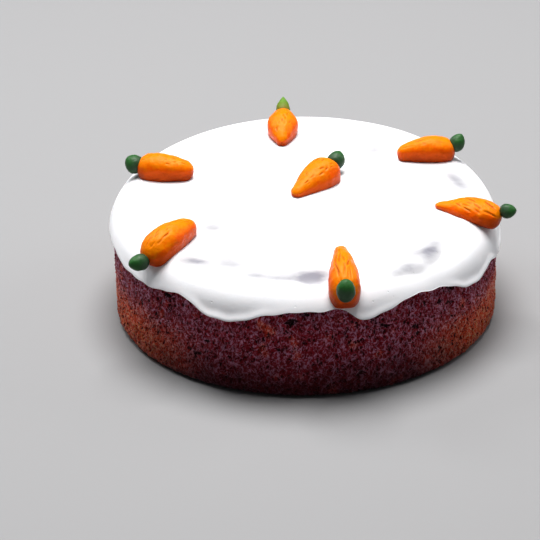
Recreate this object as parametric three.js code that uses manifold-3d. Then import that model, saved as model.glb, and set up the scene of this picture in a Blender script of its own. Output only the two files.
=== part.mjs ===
// Round carrot cake: a 20 cm sponge glazed with white icing and set with seven marzipan carrots.
// Units are millimetres and +Z is up. The origin is the centre of the sponge's flat base,
// and -Y is the front of the cake. Each separate piece of food is one closed mesh.

import Module from "manifold-3d";
import * as THREE from "three";

// ---------- Driving dimensions ----------

const SPONGE_RADIUS = 98;
const FOOT_ROUNDING = 4; // where the side turns under to the flat base
const CONTACT_GAP = 0.3; // between pieces that touch

// The icing is a poured skin. Its outside is a disc with a broad rounded rim.
const ICING = {
  radius: 99.8,
  lean: 0.65, // the pour reaches this much further towards -X than on average
  rim: 17.5, // radius of the rounding from top to side
  height: 62.8, // flat top above the base, before the crown and the slope
  crown: 1.0, // how much the middle stands above the flat top
  topThickness: 3.0,
  bead: 0.8, // how far the hanging edge swells outwards
  beadPerDrop: 0.25, // how much more it swells for each millimetre it ran further down
  beadHeight: 2.8, // how far above the edge the swelling is fullest
};

// The bake rose unevenly, so the top slopes up to the back and a little to the left.
const SLOPE = { x: -0.005, y: 0.0405 };

// The icing ends in a wavy edge: this level, less a tongue where it ran further down.
// Angles are degrees about +Z from +X, and left and right are the half widths as seen from outside.
const EDGE_LEVEL = 48.6;
const TONGUE_SHAPE = 2.2; // exponent: 2 is a bell, more is flatter at the end
const TONGUES = [
  { at: -148, left: 13.5, right: 5, drop: 3 },
  { at: -140, left: 4.5, right: 6, drop: 3.2 },
  { at: -115.5, left: 8.5, right: 14, drop: 6.6 },
  { at: -74, left: 3.5, right: 10.5, drop: 5.6 },
  { at: -33, left: 10, right: 11.5, drop: 8.2 },
  { at: -13, left: 8.5, right: 27, drop: 7.7 },
  { at: 43, left: 10, right: 12, drop: 5 },
  { at: 72, left: 12, right: 8, drop: 6.5 },
  { at: 100, left: 7, right: 10, drop: 3.5 },
  { at: 128, left: 12, right: 9, drop: 6 },
  { at: 160, left: 9, right: 12, drop: 4 },
];

// Shallow hollows that the palette knife left in the icing's top.
// turn is the direction of the long half length, in degrees about +Z from +X.
const HOLLOWS = [
  { x: -1, y: -86, long: 14, short: 5, turn: 0, depth: 1.3 },
  { x: -33, y: -68, long: 12, short: 6, turn: -40, depth: 0.7 },
  { x: -46, y: -34, long: 5, short: 4, turn: 0, depth: 0.3 },
  { x: 54, y: -79, long: 9, short: 5, turn: 20, depth: 0.9 },
  { x: 68, y: -59, long: 10, short: 6, turn: 60, depth: 1.2 },
  { x: 88, y: 15, long: 14, short: 7, turn: -68, depth: 1.4 },
];

// Each carrot lies on the icing. tip and end are the middles of its two ends, seen from above, and
// the rises are their heights above the icing there. Widths are full widths, height is the upper
// half height over the half width, and belly is where the body is widest, from tip to end.
// blunt is the length of the rounding at the wide end over the half width.
// Each bud is a green drop pressed onto the wide end, lifted off the carrot's line by its lift,
// tilted up and turned to the carrot's left in degrees.
const CARROTS = [
  {
    name: "centre", tip: [-5.2, -5], end: [15.2, 20.7], tipRise: 1.6, endRise: 5.2,
    width: 18, tipWidth: 6.2, height: 0.85, belly: 0.64, arch: 0.2, blunt: 0.65,
    bud: { width: 8.8, length: 8.8, taper: 0.35, tilt: 25, turn: 13, lift: -0.5 },
  },
  {
    name: "back", tip: [-11.5, 49], end: [-10.8, 79.8], tipRise: 3.9, endRise: 6.3,
    width: 15.6, tipWidth: 7.5, height: 0.83, belly: 0.54, arch: 0, blunt: 0.8,
    bud: { width: 7.8, length: 11.5, taper: 0.8, tilt: 18, turn: 1, lift: 0 },
  },
  {
    name: "right_back", tip: [48.5, 34.2], end: [78.6, 39.8], tipRise: 4.9, endRise: 4.9,
    width: 14.2, tipWidth: 7.2, height: 0.83, belly: 0.72, arch: 1.9, blunt: 0.25,
    bud: { width: 8.2, length: 6.8, taper: 0.3, tilt: 50, turn: 13, lift: 3 },
  },
  {
    name: "right", tip: [66.3, -19], end: [99, -23.7], tipRise: 3.4, endRise: 8.4,
    width: 15.6, tipWidth: 4.6, height: 0.78, belly: 0.66, arch: 2.1, blunt: 0.2,
    bud: { width: 7.6, length: 7.2, taper: 0.3, tilt: 12, turn: 4, lift: 4.2 },
  },
  {
    name: "front", tip: [17.4, -64.2], end: [19.2, -98.8], tipRise: 3.6, endRise: 6.8,
    width: 15.5, tipWidth: 7.2, height: 1.04, belly: 0.88, arch: 3.6, blunt: 0.15,
    bud: { width: 9.2, length: 11.2, taper: 0.1, tilt: 95, turn: 0, lift: -2.6 },
  },
  {
    name: "left_front", tip: [-55, -38], end: [-78.6, -62.2], tipRise: 5.3, endRise: 6.7,
    width: 17.4, tipWidth: 9.4, height: 0.86, belly: 0.72, arch: 2, blunt: 0.6,
    bud: { width: 8.2, length: 9.2, taper: 0.25, tilt: 12, turn: -17, lift: -1.2 },
  },
  {
    name: "left_back", tip: [-57, 15.8], end: [-86.2, 24], tipRise: 5.6, endRise: 5.3,
    width: 16.2, tipWidth: 9.4, height: 0.84, belly: 0.62, arch: 0.6, blunt: 0.55,
    bud: { width: 9.6, length: 6.8, taper: 0.2, tilt: 34, turn: -8, lift: 0 },
  },
];

const KEEL = 1.15; // how much deeper a carrot is below its widest line than above it
const TAPER_SHAPE = 1.2; // exponent: more makes the taper to the tip leaner
const BUD_SUNK = 1.5; // how deep a bud is pressed into its carrot

const MATERIALS = {
  sponge: new THREE.MeshStandardMaterial({ color: 0x5a2f33, roughness: 0.85, metalness: 0 }),
  icing: new THREE.MeshStandardMaterial({ color: 0xf6f4f7, roughness: 0.3, metalness: 0 }),
  carrot: new THREE.MeshStandardMaterial({ color: 0xf07a12, roughness: 0.45, metalness: 0 }),
  bud: new THREE.MeshStandardMaterial({ color: 0x1f5a2c, roughness: 0.35, metalness: 0 }),
};

// ---------- Fineness ----------

const SPONGE_COLUMNS = 72;
const FOOT_STEPS = 3;
const SPONGE_RIM_STEPS = 6;
const SPONGE_TOP_STEPS = 3;
const ICING_COLUMNS = 120;
const INNER_TOP_STEPS = 3;
const INNER_RIM_STEPS = 6;
const EDGE_STEPS = 3;
const RIM_STEPS = 9;
const TOP_STEPS = 11;
const CARROT_ROWS = 13;
const CARROT_SIDES = 16;
const BUD_ROWS = 6;
const BUD_SIDES = 12;

// ---------- The form of the icing ----------

// The icing's underside, which follows the sponge.
const INNER = {
  radius: SPONGE_RADIUS + CONTACT_GAP,
  rim: ICING.rim - 1,
  height: ICING.height - ICING.topThickness,
};
const SPONGE_TOP = INNER.height - CONTACT_GAP;
const SPONGE_RIM = INNER.rim + CONTACT_GAP; // rounder, so that the wavy icing clears it all over

// Radius of a round-rimmed disc at a depth below its flat top.
function radiusAtDepth(radius, rim, depth) {
  if (depth >= rim) {
    return radius;
  }
  return radius - rim + Math.sqrt(rim ** 2 - (rim - depth) ** 2);
}

// How much the uneven bake lifts the top at a place.
function slopeAt(x, y) {
  return SLOPE.x * x + SLOPE.y * y;
}

// How much the middle of the top stands proud.
function crownAt(distance) {
  const share = Math.min(1, distance / (ICING.radius - ICING.rim));
  return ICING.crown * (1 - share ** 2) ** 2;
}

// Outer radius of the icing's side in a direction, without the swelling at its edge.
function icingRadius(angle) {
  return ICING.radius - ICING.lean * Math.cos(angle);
}

// Signed angle from one direction to another, in degrees from -180 to 180.
function turnBetween(from, to) {
  return THREE.MathUtils.euclideanModulo(to - from + 180, 360) - 180;
}

// Height of the icing's hanging edge in a direction.
function edgeHeight(angle) {
  const degrees = THREE.MathUtils.radToDeg(angle);
  let height = EDGE_LEVEL;
  for (const tongue of TONGUES) {
    const turn = turnBetween(tongue.at, degrees);
    const reach = turn < 0 ? tongue.left : tongue.right;
    height -= tongue.drop * Math.exp(-((Math.abs(turn) / reach) ** TONGUE_SHAPE));
  }
  return height;
}

// How far the icing swells out at a height above its hanging edge.
function swellingAt(angle, aboveEdge) {
  const fullest = ICING.bead + ICING.beadPerDrop * (EDGE_LEVEL - edgeHeight(angle));
  return fullest * Math.exp(-(((aboveEdge - ICING.beadHeight) / ICING.beadHeight) ** 2));
}

// Depth of the palette-knife hollows at a place.
function hollowAt(x, y) {
  let depth = 0;
  for (const hollow of HOLLOWS) {
    const turn = THREE.MathUtils.degToRad(hollow.turn);
    const dx = x - hollow.x;
    const dy = y - hollow.y;
    const along = (dx * Math.cos(turn) + dy * Math.sin(turn)) / hollow.long;
    const across = (dy * Math.cos(turn) - dx * Math.sin(turn)) / hollow.short;
    depth += hollow.depth * Math.exp(-(along ** 2) - across ** 2);
  }
  return depth;
}

// Moves a point out of the icing, square to its surface, until it clears it by the contact gap.
function liftOffIcing(point) {
  const angle = Math.atan2(point.y, point.x);
  const distance = Math.hypot(point.x, point.y);
  const outward = new THREE.Vector3(Math.cos(angle), Math.sin(angle), 0);
  const radius = icingRadius(angle) + swellingAt(angle, point.z - edgeHeight(angle));
  const overSide = distance - (radius - ICING.rim);
  const top = ICING.height + crownAt(distance) + slopeAt(point.x, point.y);
  const overTop = point.z - (top - ICING.rim);
  if (overSide <= 0 || overTop <= 0) {
    const clearance = Math.max(overSide, overTop) - ICING.rim;
    const direction = overTop > overSide ? new THREE.Vector3(0, 0, 1) : outward;
    return point.addScaledVector(direction, Math.max(0, CONTACT_GAP - clearance));
  }
  const reach = Math.hypot(overSide, overTop);
  const normal = outward.multiplyScalar(overSide / reach);
  normal.z = overTop / reach;
  return point.addScaledVector(normal, Math.max(0, CONTACT_GAP + ICING.rim - reach));
}

// A point at a height above the icing, measured square to its surface.
function pointAboveIcing([x, y], rise) {
  const distance = Math.hypot(x, y);
  const top = ICING.height + crownAt(distance) + slopeAt(x, y);
  const overSide = distance - (icingRadius(Math.atan2(y, x)) - ICING.rim);
  if (overSide <= 0) {
    return new THREE.Vector3(x, y, top + rise);
  }
  const overTop = Math.sqrt(Math.max(0, (ICING.rim + rise) ** 2 - overSide ** 2));
  return new THREE.Vector3(x, y, top - ICING.rim + overTop);
}

// ---------- Closed bodies from rings ----------

// A closed body from rings of points stacked from a first pole to a last pole. Seen from the last
// pole, each ring runs counterclockwise.
function closedBody(firstPole, rings, lastPole) {
  const count = rings[0].length;
  const points = [firstPole, ...rings.flat(), lastPole];
  const last = points.length - 1;
  const at = (ring, column) => 1 + ring * count + (column % count);
  const index = [];
  for (let column = 0; column < count; column++) {
    index.push(0, at(0, column + 1), at(0, column));
    for (let ring = 0; ring + 1 < rings.length; ring++) {
      index.push(at(ring, column), at(ring, column + 1), at(ring + 1, column + 1));
      index.push(at(ring, column), at(ring + 1, column + 1), at(ring + 1, column));
    }
    index.push(at(rings.length - 1, column), at(rings.length - 1, column + 1), last);
  }
  const geometry = new THREE.BufferGeometry().setFromPoints(points);
  geometry.setIndex(index);
  geometry.computeVertexNormals();
  return geometry;
}

// A ring of points about the Z axis, each given by its direction.
function ringAbout(columns, pointAt) {
  return Array.from({ length: columns }, (_, column) => {
    const { radius, z, angle } = pointAt((2 * Math.PI * column) / columns);
    return new THREE.Vector3(radius * Math.cos(angle), radius * Math.sin(angle), z);
  });
}

// The same ring, given by a radius and a height before the slope of the top is added.
function slopedRing(columns, radiusAt, heightAt) {
  return ringAbout(columns, (angle) => {
    const radius = radiusAt(angle);
    const slope = slopeAt(radius * Math.cos(angle), radius * Math.sin(angle));
    return { radius, z: heightAt(angle, radius) + slope, angle };
  });
}

// Share of a quarter turn's fall after a number of even steps of the turn.
function roundedShare(step, steps) {
  return 1 - Math.cos(((step / steps) * Math.PI) / 2);
}

// ---------- Sponge ----------

function spongeGeometry() {
  const rings = [];
  for (let step = 0; step <= FOOT_STEPS; step++) {
    const z = FOOT_ROUNDING * roundedShare(step, FOOT_STEPS);
    const radius = radiusAtDepth(SPONGE_RADIUS, FOOT_ROUNDING, z);
    rings.push(ringAbout(SPONGE_COLUMNS, (angle) => ({ radius, z, angle })));
  }
  const middle = SPONGE_TOP / 3;
  rings.push(ringAbout(SPONGE_COLUMNS, (angle) => ({ radius: SPONGE_RADIUS, z: middle, angle })));
  for (let step = SPONGE_RIM_STEPS; step >= 0; step--) {
    const depth = SPONGE_RIM * roundedShare(step, SPONGE_RIM_STEPS);
    const radius = radiusAtDepth(SPONGE_RADIUS, SPONGE_RIM, depth);
    rings.push(slopedRing(SPONGE_COLUMNS, () => radius, () => SPONGE_TOP - depth));
  }
  for (let step = SPONGE_TOP_STEPS - 1; step > 0; step--) {
    const radius = ((SPONGE_RADIUS - SPONGE_RIM) * step) / SPONGE_TOP_STEPS;
    rings.push(slopedRing(SPONGE_COLUMNS, () => radius, () => SPONGE_TOP + crownAt(radius)));
  }
  const top = new THREE.Vector3(0, 0, SPONGE_TOP + ICING.crown);
  return closedBody(new THREE.Vector3(0, 0, 0), rings, top);
}

// ---------- Icing ----------

// Height of the hanging edge before the slope of the top is added.
function unslopedEdge(angle) {
  const x = ICING.radius * Math.cos(angle);
  const y = ICING.radius * Math.sin(angle);
  return edgeHeight(angle) - slopeAt(x, y);
}

// Outer radius of the icing at a height before the slope of the top is added.
function outerRadius(angle, height) {
  const smooth = radiusAtDepth(icingRadius(angle), ICING.rim, ICING.height - height);
  return smooth + swellingAt(angle, height - unslopedEdge(angle));
}

function innerRadius(height) {
  return radiusAtDepth(INNER.radius, INNER.rim, INNER.height - height);
}

// Half the icing's thickness at its hanging edge, which is a half round.
function edgeHalfThickness(angle) {
  const edge = unslopedEdge(angle);
  return (outerRadius(angle, edge) - innerRadius(edge)) / 2;
}

// Rings of the icing's underside, from the middle out and down to the hanging edge.
function innerRings() {
  const rings = [];
  for (let step = 1; step <= INNER_TOP_STEPS; step++) {
    const radius = ((INNER.radius - INNER.rim) * step) / INNER_TOP_STEPS;
    rings.push(slopedRing(ICING_COLUMNS, () => radius, () => INNER.height + crownAt(radius)));
  }
  for (let step = 1; step <= INNER_RIM_STEPS; step++) {
    const heightAt = (angle) => {
      const fall = INNER.height - unslopedEdge(angle) - edgeHalfThickness(angle);
      return INNER.height - fall * roundedShare(step, INNER_RIM_STEPS);
    };
    rings.push(slopedRing(ICING_COLUMNS, (angle) => innerRadius(heightAt(angle)), heightAt));
  }
  return rings;
}

// Rings round the half round of the hanging edge, from inside to outside.
function edgeRings() {
  const rings = [];
  for (let step = 1; step <= EDGE_STEPS; step++) {
    const turn = (step / (EDGE_STEPS + 1)) * Math.PI;
    const radiusAt = (angle) => {
      const outer = outerRadius(angle, unslopedEdge(angle));
      return outer - edgeHalfThickness(angle) * (1 + Math.cos(turn));
    };
    const heightAt = (angle) => {
      return unslopedEdge(angle) + edgeHalfThickness(angle) * (1 - Math.sin(turn));
    };
    rings.push(slopedRing(ICING_COLUMNS, radiusAt, heightAt));
  }
  return rings;
}

// Rings of the icing's outside, from the hanging edge up and in to the middle.
function outerRings() {
  const rings = [];
  const hollowAround = (angle, radius) => {
    return hollowAt(radius * Math.cos(angle), radius * Math.sin(angle));
  };
  for (let step = RIM_STEPS; step >= 0; step--) {
    const smoothHeight = (angle) => {
      const fall = ICING.height - unslopedEdge(angle) - edgeHalfThickness(angle);
      return ICING.height - fall * roundedShare(step, RIM_STEPS);
    };
    const radiusAt = (angle) => outerRadius(angle, smoothHeight(angle));
    const heightAt = (angle, radius) => smoothHeight(angle) - hollowAround(angle, radius);
    rings.push(slopedRing(ICING_COLUMNS, radiusAt, heightAt));
  }
  for (let step = TOP_STEPS - 1; step > 0; step--) {
    const radiusAt = (angle) => ((icingRadius(angle) - ICING.rim) * step) / TOP_STEPS;
    const heightAt = (angle, radius) => {
      return ICING.height + crownAt(radius) - hollowAround(angle, radius);
    };
    rings.push(slopedRing(ICING_COLUMNS, radiusAt, heightAt));
  }
  return rings;
}

function icingGeometry() {
  const innerMiddle = new THREE.Vector3(0, 0, INNER.height + ICING.crown);
  const outerMiddle = new THREE.Vector3(0, 0, ICING.height + ICING.crown - hollowAt(0, 0));
  return closedBody(innerMiddle, [...innerRings(), ...edgeRings(), ...outerRings()], outerMiddle);
}

// ---------- Marzipan carrots ----------

const UP = new THREE.Vector3(0, 0, 1);

// A carrot's two ends, its length, and its forward, sideways and upward directions.
function carrotFrame(carrot) {
  const tip = pointAboveIcing(carrot.tip, carrot.tipRise);
  const end = pointAboveIcing(carrot.end, carrot.endRise);
  const forward = end.clone().sub(tip);
  const length = forward.length();
  forward.normalize();
  const side = new THREE.Vector3().crossVectors(UP, forward).normalize();
  const up = new THREE.Vector3().crossVectors(forward, side);
  return { tip, end, length, forward, side, up };
}

// Half width of a carrot at a share of the way from its tip to its end.
function carrotHalfWidth(carrot, length, share) {
  const wide = carrot.width / 2;
  const narrow = carrot.tipWidth / 2;
  const swell = Math.sin((Math.min(1, share / carrot.belly) * Math.PI) / 2) ** TAPER_SHAPE;
  const tipCap = Math.min(1, (share * length) / narrow);
  const endCap = Math.min(1, ((1 - share) * length) / (wide * carrot.blunt));
  const rounding = Math.sqrt((1 - (1 - tipCap) ** 2) * (1 - (1 - endCap) ** 2));
  return (narrow + (wide - narrow) * swell) * rounding;
}

// A carrot's body, or the same body grown all round, to cut its place out of its bud.
function carrotGeometry(carrot, grown = 0) {
  const { tip, end, length, forward, side, up } = carrotFrame(carrot);
  const rings = [];
  for (let row = 1; row < CARROT_ROWS; row++) {
    const share = roundedShare(2 * row, CARROT_ROWS) / 2;
    const half = carrotHalfWidth(carrot, length, share) + grown;
    const arch = 4 * carrot.arch * share * (1 - share);
    const middle = tip.clone().addScaledVector(forward, share * length).addScaledVector(up, arch);
    const ring = [];
    for (let step = 0; step < CARROT_SIDES; step++) {
      const turn = (2 * Math.PI * step) / CARROT_SIDES;
      const depth = carrot.height * (turn > Math.PI ? KEEL : 1);
      const point = middle.clone();
      point.addScaledVector(side, half * Math.cos(turn));
      point.addScaledVector(up, half * depth * Math.sin(turn));
      ring.push(liftOffIcing(point));
    }
    rings.push(ring);
  }
  const firstPole = tip.clone().addScaledVector(forward, -grown);
  const lastPole = end.clone().addScaledVector(forward, grown);
  return closedBody(liftOffIcing(firstPole), rings, liftOffIcing(lastPole));
}

// The whole drop of a bud, before the carrot's end is cut out of it.
function budDropGeometry(carrot) {
  const { end, forward, side, up } = carrotFrame(carrot);
  const { width, length, taper, tilt, turn, lift } = carrot.bud;
  const tilted = THREE.MathUtils.degToRad(tilt);
  const turned = THREE.MathUtils.degToRad(turn);
  const axis = forward.clone().multiplyScalar(Math.cos(tilted) * Math.cos(turned));
  axis.addScaledVector(side, Math.cos(tilted) * Math.sin(turned));
  axis.addScaledVector(up, Math.sin(tilted));
  const across = new THREE.Vector3().crossVectors(up, axis).normalize();
  const over = new THREE.Vector3().crossVectors(axis, across);
  const base = end.clone().addScaledVector(up, lift).addScaledVector(axis, -BUD_SUNK);
  const rings = [];
  for (let row = 1; row < BUD_ROWS; row++) {
    const share = roundedShare(2 * row, BUD_ROWS) / 2;
    const round = Math.sqrt(1 - (2 * share - 1) ** 2);
    const half = (width / 2) * round * (1 - (taper * share) / 2);
    const middle = base.clone().addScaledVector(axis, share * (length + BUD_SUNK));
    const ring = [];
    for (let step = 0; step < BUD_SIDES; step++) {
      const angle = (2 * Math.PI * step) / BUD_SIDES;
      const point = middle.clone();
      point.addScaledVector(across, half * Math.cos(angle));
      point.addScaledVector(over, half * Math.sin(angle));
      ring.push(liftOffIcing(point));
    }
    rings.push(ring);
  }
  return closedBody(base, rings, base.clone().addScaledVector(axis, length + BUD_SUNK));
}

const wasm = await Module();
wasm.setup();

function solidOf(geometry) {
  const mesh = new wasm.Mesh({
    numProp: 3,
    vertProperties: geometry.attributes.position.array,
    triVerts: new Uint32Array(geometry.index.array),
  });
  return new wasm.Manifold(mesh);
}

// The bud as it shows: the drop less the end of its carrot, with the contact gap between.
function budGeometry(carrot) {
  const place = solidOf(carrotGeometry(carrot, CONTACT_GAP));
  const mesh = solidOf(budDropGeometry(carrot)).subtract(place).getMesh();
  const geometry = new THREE.BufferGeometry();
  geometry.setAttribute("position", new THREE.BufferAttribute(mesh.vertProperties, 3));
  geometry.setIndex(new THREE.BufferAttribute(mesh.triVerts, 1));
  geometry.computeVertexNormals();
  return geometry;
}

// ---------- The cake ----------

function namedMesh(name, geometry, material) {
  const mesh = new THREE.Mesh(geometry, material);
  mesh.name = name;
  return mesh;
}

const cake = new THREE.Group();
cake.name = "carrot_cake";
cake.add(namedMesh("sponge", spongeGeometry(), MATERIALS.sponge));
cake.add(namedMesh("icing", icingGeometry(), MATERIALS.icing));
for (const carrot of CARROTS) {
  const group = new THREE.Group();
  group.add(namedMesh(`carrot_${carrot.name}`, carrotGeometry(carrot), MATERIALS.carrot));
  group.add(namedMesh(`bud_${carrot.name}`, budGeometry(carrot), MATERIALS.bud));
  cake.add(group);
}

export default cake;
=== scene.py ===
"""Dresses a round carrot cake: a porous sponge, its poured icing and seven marzipan carrots.

The frame is the solids' own: +Z is up, the origin is the centre of the sponge's flat base and -Y
is the front of the cake. Forms are worked out in millimetres and their meshes made in metres.
"""

import logging
import math
from collections.abc import Sequence
from dataclasses import dataclass
from enum import Enum
from typing import Any, Optional, Union

import bpy
import numpy as np
from mathutils import Matrix, Vector


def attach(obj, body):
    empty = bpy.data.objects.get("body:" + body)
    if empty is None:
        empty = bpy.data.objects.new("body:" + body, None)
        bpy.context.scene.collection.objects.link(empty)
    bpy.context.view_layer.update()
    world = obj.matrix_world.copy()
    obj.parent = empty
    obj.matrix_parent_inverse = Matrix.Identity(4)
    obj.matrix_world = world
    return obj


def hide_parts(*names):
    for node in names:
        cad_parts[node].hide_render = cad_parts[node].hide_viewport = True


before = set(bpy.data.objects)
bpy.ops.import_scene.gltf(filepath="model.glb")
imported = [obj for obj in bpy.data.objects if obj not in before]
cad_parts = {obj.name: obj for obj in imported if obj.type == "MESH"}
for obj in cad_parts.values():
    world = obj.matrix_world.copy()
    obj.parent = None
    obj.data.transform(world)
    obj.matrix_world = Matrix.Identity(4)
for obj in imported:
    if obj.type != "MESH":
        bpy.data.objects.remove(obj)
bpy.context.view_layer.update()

LOG = logging.getLogger("carrot_cake")
MM = 0.001
TINY = 1e-9
BODY = "root"

Array = np.ndarray
Colour = tuple[float, float, float, float]
Inputs = dict[Union[int, str], Any]
Piece = bpy.types.Object
Place = tuple[float, float, float]
Span = tuple[float, float]
Tree = bpy.types.NodeTree


class Slot(Enum):
    """The material slots of the cake's record."""

    SPONGE = "sponge"
    ICING = "icing"
    ORANGE_MARZIPAN = "orange_marzipan"
    GREEN_MARZIPAN = "green_marzipan"
    PALE_GREEN_MARZIPAN = "pale_green_marzipan"


def linear(*channels: float) -> Colour:
    """Turns a display colour into the linear colour that nodes take.

    Args:
        *channels: Red, green and blue, from 0 to 255.

    Returns:
        The linear colour with full alpha.
    """
    shares = [channel / 255 for channel in channels]
    bright = [((share + 0.055) / 1.055) ** 2.4 for share in shares]
    lines = [share / 12.92 if share <= 0.04045 else high for share, high in zip(shares, bright)]
    return (lines[0], lines[1], lines[2], 1.0)


# ---------- Nodes ----------


class Wire:
    """A node's output, which adds Math nodes when it takes part in arithmetic."""

    def __init__(self, graph: "Graph", socket: Optional[bpy.types.NodeSocket]) -> None:
        """Wraps one output socket of a graph."""
        self.graph = graph
        self.socket = socket

    def __add__(self, other: "Value") -> "Wire":
        """Adds a number or a wire."""
        return self.graph.maths("ADD", self, other)

    def __sub__(self, other: "Value") -> "Wire":
        """Takes a number or a wire away."""
        return self.graph.maths("SUBTRACT", self, other)

    def __rsub__(self, other: "Value") -> "Wire":
        """Is taken away from a number."""
        return self.graph.maths("SUBTRACT", other, self)

    def __mul__(self, other: "Value") -> "Wire":
        """Multiplies by a number or a wire."""
        return self.graph.maths("MULTIPLY", self, other)

    def __truediv__(self, other: "Value") -> "Wire":
        """Divides by a number or a wire."""
        return self.graph.maths("DIVIDE", self, other)

    def __rtruediv__(self, other: "Value") -> "Wire":
        """Divides a number."""
        return self.graph.maths("DIVIDE", other, self)

    __radd__ = __add__
    __rmul__ = __mul__

    def other(self, name: str) -> "Wire":
        """Gives another output of the same node."""
        return Wire(self.graph, self.socket.node.outputs[name])


Value = Union[float, Wire]


class Graph:
    """Adds nodes to one shader or geometry tree."""

    def __init__(self, tree: Tree) -> None:
        """Starts on an empty tree."""
        self.tree = tree

    def node(
        self,
        kind: str,
        settings: Optional[dict[str, Any]] = None,
        inputs: Optional[Inputs] = None,
        output: Union[int, str] = 0,
    ) -> Wire:
        """Adds one node.

        Args:
            kind: The node's type.
            settings: Its properties, which are set first.
            inputs: Values or wires by the input's name or place.
            output: The output to hand back, by name or place.

        Returns:
            The wanted output, or an empty wire where the node has none.
        """
        made = self.tree.nodes.new(kind)
        for name, value in (settings or {}).items():
            setattr(made, name, value)
        for key, value in (inputs or {}).items():
            socket = made.inputs[key]
            if isinstance(value, Wire):
                self.tree.links.new(value.socket, socket)
            else:
                socket.default_value = value
        return Wire(self, made.outputs[output] if len(made.outputs) else None)

    def maths(self, operation: str, first: Value, second: Value = 0.0) -> Wire:
        """Adds a Math node on two numbers or wires."""
        return self.node("ShaderNodeMath", {"operation": operation}, {0: first, 1: second})

    def vector(self, operation: str, first: Any, second: Any) -> Wire:
        """Adds a Vector Math node on two vectors or wires."""
        inputs = {0: first, "Scale" if operation == "SCALE" else 1: second}
        return self.node("ShaderNodeVectorMath", {"operation": operation}, inputs)

    def axis(self, vector: Wire, name: str) -> Wire:
        """Gives one axis of a vector, with the others as further outputs."""
        return self.node("ShaderNodeSeparateXYZ", None, {0: vector}, name)

    def mixed(self, factor: Value, first: Any, second: Any) -> Wire:
        """Mixes two colours or colour wires by a factor."""
        settings = {"data_type": "RGBA"}
        return self.node("ShaderNodeMix", settings, {0: factor, 6: first, 7: second}, 2)

    def smooth(self, value: Wire, start: Value, end: Value) -> Wire:
        """Rises smoothly from 0 at start to 1 at end."""
        settings = {"interpolation_type": "SMOOTHSTEP"}
        inputs = {"Value": value, "From Min": start, "From Max": end}
        return self.node("ShaderNodeMapRange", settings, inputs)

    def noise(
        self, vector: Wire, size: Value, seed: Value, detail: float = 2.0, rough: float = 0.5
    ) -> Wire:
        """Adds noise.

        Args:
            vector: Where it is looked up.
            size: About how wide its blotches are, in metres.
            seed: Chooses the noise.
            detail: How many finer layers lie on it.
            rough: How strong each finer layer is.

        Returns:
            The noise from 0 to 1, with its colour as a further output.
        """
        inputs = {"Vector": vector, "W": seed, "Scale": 1 / size, "Detail": detail}
        inputs["Roughness"] = rough
        return self.node("ShaderNodeTexNoise", {"noise_dimensions": "4D"}, inputs)

    def drifted(self, place: Wire, size: float, reach: float, seed: Value, detail: float) -> Wire:
        """Shifts places at random.

        Args:
            place: The places.
            size: About how wide the areas are that shift together, in metres.
            reach: The range of the shift along each axis, in metres.
            seed: Chooses the shifts.
            detail: How many finer layers the shift has.

        Returns:
            The shifted places.
        """
        shift = self.noise(place, size, seed, detail).other("Color")
        shift = self.vector("SUBTRACT", shift, (0.5, 0.5, 0.5))
        return self.vector("ADD", place, self.vector("SCALE", shift, reach))

    def cells(self, vector: Wire, size: Value, feature: str = "F1") -> Wire:
        """Adds random cells of a size in metres, measured from their middles or their edges."""
        inputs = {"Vector": vector, "Scale": 1 / size}
        return self.node("ShaderNodeTexVoronoi", {"feature": feature}, inputs)

    def share(self, name: str) -> Wire:
        """Reads a share that a mesh keeps for its points."""
        return self.node("ShaderNodeAttribute", {"attribute_name": name}, None, "Fac")

    def bump(self, height: Wire, depth: float, below: Optional[Wire] = None) -> Wire:
        """Adds a bump of a depth in metres, on top of another where one is given."""
        inputs: Inputs = {"Height": height, "Distance": depth}
        if below is not None:
            inputs["Normal"] = below
        return self.node("ShaderNodeBump", None, inputs)

    def surface(self, inputs: Inputs) -> Wire:
        """Adds the shader of a surface, with inputs by their names."""
        return self.node("ShaderNodeBsdfPrincipled", None, inputs)

    def moved(self, geometry: Wire, offset: Wire) -> Wire:
        """Moves a geometry's points."""
        inputs = {"Geometry": geometry, "Offset": offset}
        return self.node("GeometryNodeSetPosition", None, inputs)

    def keep(self, geometry: Wire, name: str, value: Wire) -> Wire:
        """Keeps a value for a geometry's points."""
        settings = {"data_type": "FLOAT", "domain": "POINT"}
        inputs = {"Geometry": geometry, "Name": name, "Value": value}
        return self.node("GeometryNodeStoreNamedAttribute", settings, inputs)


# ---------- Finishes ----------


@dataclass(frozen=True)
class Finish:
    """The surface of one food, with sizes in metres. A kind of finish says how it is shaded.

    Each span says where a change starts and where it is complete.
    """

    name: str

    def shade(self, graph: Graph, place: Wire) -> Wire:
        """Adds the nodes of the finish and hands back its shader."""
        raise NotImplementedError

    def material(self) -> bpy.types.Material:
        """Makes the finish as a material, or finds it where it is made already.

        Returns:
            The material, with its nodes built.
        """
        if self.name in bpy.data.materials:
            return bpy.data.materials[self.name]
        made = bpy.data.materials.new(self.name)
        made.use_nodes = True
        made.node_tree.nodes.clear()
        graph = Graph(made.node_tree)
        place = graph.node("ShaderNodeTexCoord", None, None, "Object")
        shader = self.shade(graph, place)
        graph.node("ShaderNodeOutputMaterial", None, {"Surface": shader})
        return made


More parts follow.
